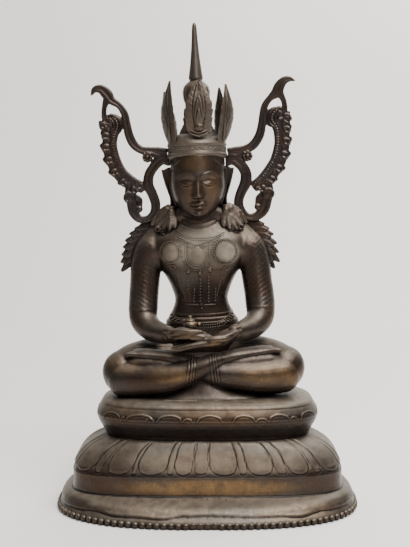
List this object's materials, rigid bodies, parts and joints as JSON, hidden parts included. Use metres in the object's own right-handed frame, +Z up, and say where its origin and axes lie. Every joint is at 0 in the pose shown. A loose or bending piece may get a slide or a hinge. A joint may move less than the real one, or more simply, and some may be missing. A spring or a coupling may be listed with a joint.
{
  "type": "seated buddha figure",
  "caption": "Crowned buddha seated cross-legged with hands in the lap, dark cast bronze, on a tiered lotus throne with a beaded foot and openwork ribbons beside the crown.",
  "frame": {"origin": "middle of the underside of the throne's footprint", "axes": "+Z up, -Y towards the front, which the figure faces, +X towards the figure's left hand"},
  "size_m": [0.386, 0.23, 0.5998],
  "materials": {
    "cast_bronze": "dark brown cast bronze with worn, dusty patina",
    "ribbon_bronze": "dark brown cast bronze, little handled"
  },
  "bodies": {
    "root": {"buddha_on_throne": "cast_bronze", "ribbon_right": "ribbon_bronze", "ribbon_left": "ribbon_bronze"}
  },
  "joints": []
}
